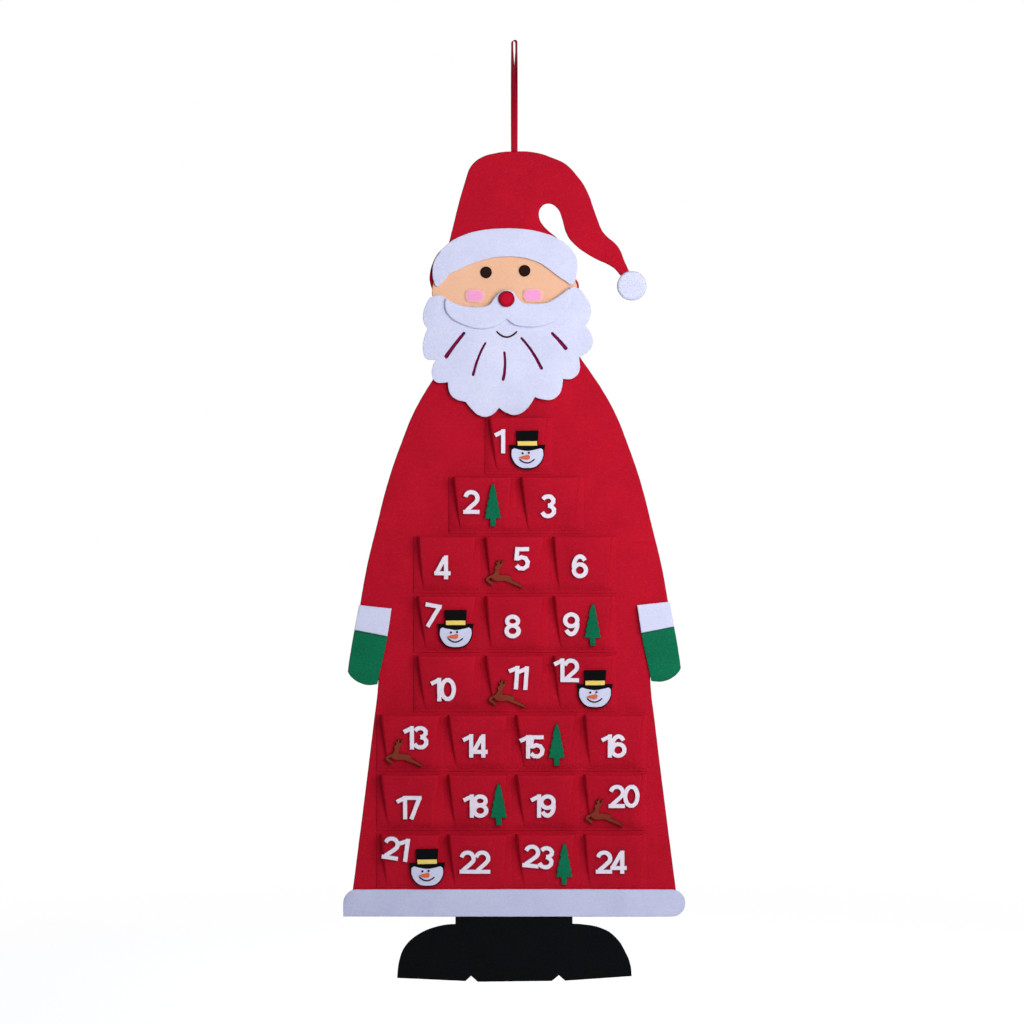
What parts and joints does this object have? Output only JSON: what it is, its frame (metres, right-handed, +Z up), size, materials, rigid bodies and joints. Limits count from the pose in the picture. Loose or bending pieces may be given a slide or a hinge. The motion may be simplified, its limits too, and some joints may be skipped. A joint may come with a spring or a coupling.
{
  "type": "felt advent calendar",
  "caption": "Wall advent calendar of layered felt: a robed, bearded winter figure with rows of open numbered pockets and small felt ornaments, hung from a ribbon loop.",
  "frame": {"origin": "point inside the top of the ribbon loop where the nail bears", "axes": "+Z up, +X to the viewer's right, -Y towards the viewer, so that the wall is on the +Y side"},
  "size_m": [0.41, 0.0231, 1.1313],
  "materials": {
    "red_felt": "matt wool-look felt",
    "white_felt": "matt bluish-white felt",
    "peach_felt": "matt felt",
    "green_felt": "matt felt",
    "black_felt": "matt felt",
    "brown_felt": "matt felt",
    "red_ribbon": "woven satin ribbon"
  },
  "bodies": {
    "loop": {"hanging_loop": "red_ribbon"},
    "calendar": {"hat": "red_felt", "hat_brim": "white_felt", "hat_pompom": "white_felt", "face": "peach_felt", "beard": "white_felt", "moustache": "white_felt", "nose": "red_felt", "body_panel": "red_felt", "hem_band": "white_felt", "boots": "black_felt", "mitten_left": "green_felt", "mitten_right": "green_felt", "cuff_left": "white_felt", "cuff_right": "white_felt", "pocket_strip_1": "red_felt", "pocket_strip_2": "red_felt", "pocket_strip_3": "red_felt", "pocket_strip_4": "red_felt", "pocket_strip_5": "red_felt", "pocket_strip_6": "red_felt", "pocket_strip_7": "red_felt", "pocket_strip_8": "red_felt", "number_01": "white_felt", "number_02": "white_felt", "number_03": "white_felt", "number_04": "white_felt", "number_05": "white_felt", "number_06": "white_felt", "number_07": "white_felt", "number_08": "white_felt", "number_09": "white_felt", "number_10": "white_felt", "number_11": "white_felt", "number_12": "white_felt", "number_13": "white_felt", "number_14": "white_felt", "number_15": "white_felt", "number_16": "white_felt", "number_17": "white_felt", "number_18": "white_felt", "number_19": "white_felt", "number_20": "white_felt", "number_21": "white_felt", "number_22": "white_felt", "number_23": "white_felt", "number_24": "white_felt", "snowman_01": "black_felt", "snowman_07": "black_felt", "snowman_12": "black_felt", "snowman_21": "black_felt", "tree_02": "green_felt", "tree_09": "green_felt", "tree_15": "green_felt", "tree_18": "green_felt", "tree_23": "green_felt", "reindeer_05": "brown_felt", "reindeer_11": "brown_felt", "reindeer_13": "brown_felt", "reindeer_20": "brown_felt"}
  },
  "joints": [
    {"name": "loop_fold", "type": "hinge", "parent": "loop", "child": "calendar", "pos_m": [0, 0, -0.1324], "axis": [1, 0, 0], "range_deg": [-90, 170]}
  ]
}
